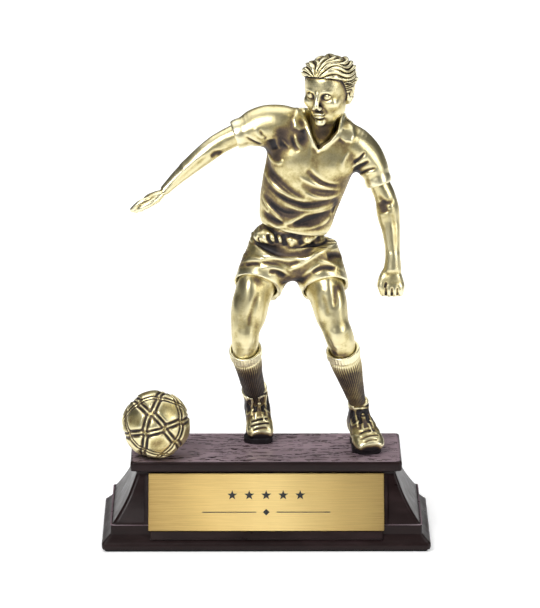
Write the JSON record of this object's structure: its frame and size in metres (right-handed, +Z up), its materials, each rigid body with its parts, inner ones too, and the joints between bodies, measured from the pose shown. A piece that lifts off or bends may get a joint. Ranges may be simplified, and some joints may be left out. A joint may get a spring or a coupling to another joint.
{
  "type": "figure trophy",
  "caption": "Antique-brass football player with a ball, in wide dribbling stance on a mahogany-coloured coved plinth with a blank engraving plate.",
  "frame": {"origin": "centre of the underside of the felt pad, under the centre of the plinth", "axes": "+Z up through the player, +X to the player's left along the plinth, -Y towards the front with the engraving plate"},
  "size_m": [0.1064, 0.053, 0.1589],
  "materials": {
    "antique_brass": "cast polyresin with an antique brass metallic coating, dark in the recesses and burnished on the high spots",
    "steel": "bright zinc-plated steel",
    "mahogany_resin": "cast polyresin, dark mahogany colour, satin gloss, with a chiselled grain on the top face",
    "engraving_plate": "gold-coloured anodised aluminium, brushed along its length",
    "tape": "double-sided adhesive tape",
    "hardboard": "brown hardboard",
    "felt": "black felt"
  },
  "bodies": {
    "root": {"head": "antique_brass", "shirt": "antique_brass", "right_arm": "antique_brass", "left_arm": "antique_brass", "shorts": "antique_brass", "right_thigh": "antique_brass", "left_thigh": "antique_brass", "right_sock": "antique_brass", "left_sock": "antique_brass", "right_boot": "antique_brass", "left_boot": "antique_brass", "ball": "antique_brass", "neck_pin": "steel", "right_arm_pin": "steel", "left_arm_pin": "steel", "waist_pin": "steel", "right_hip_pin": "steel", "left_hip_pin": "steel", "right_shin_pin": "steel", "left_shin_pin": "steel", "ball_pin": "steel", "right_foot_stud": "steel", "left_foot_stud": "steel", "right_stud_washer": "steel", "left_stud_washer": "steel", "right_stud_nut": "steel", "left_stud_nut": "steel", "plinth": "mahogany_resin", "nameplate": "engraving_plate", "nameplate_adhesive": "tape", "base_board": "hardboard", "felt_pad": "felt"}
  },
  "joints": []
}
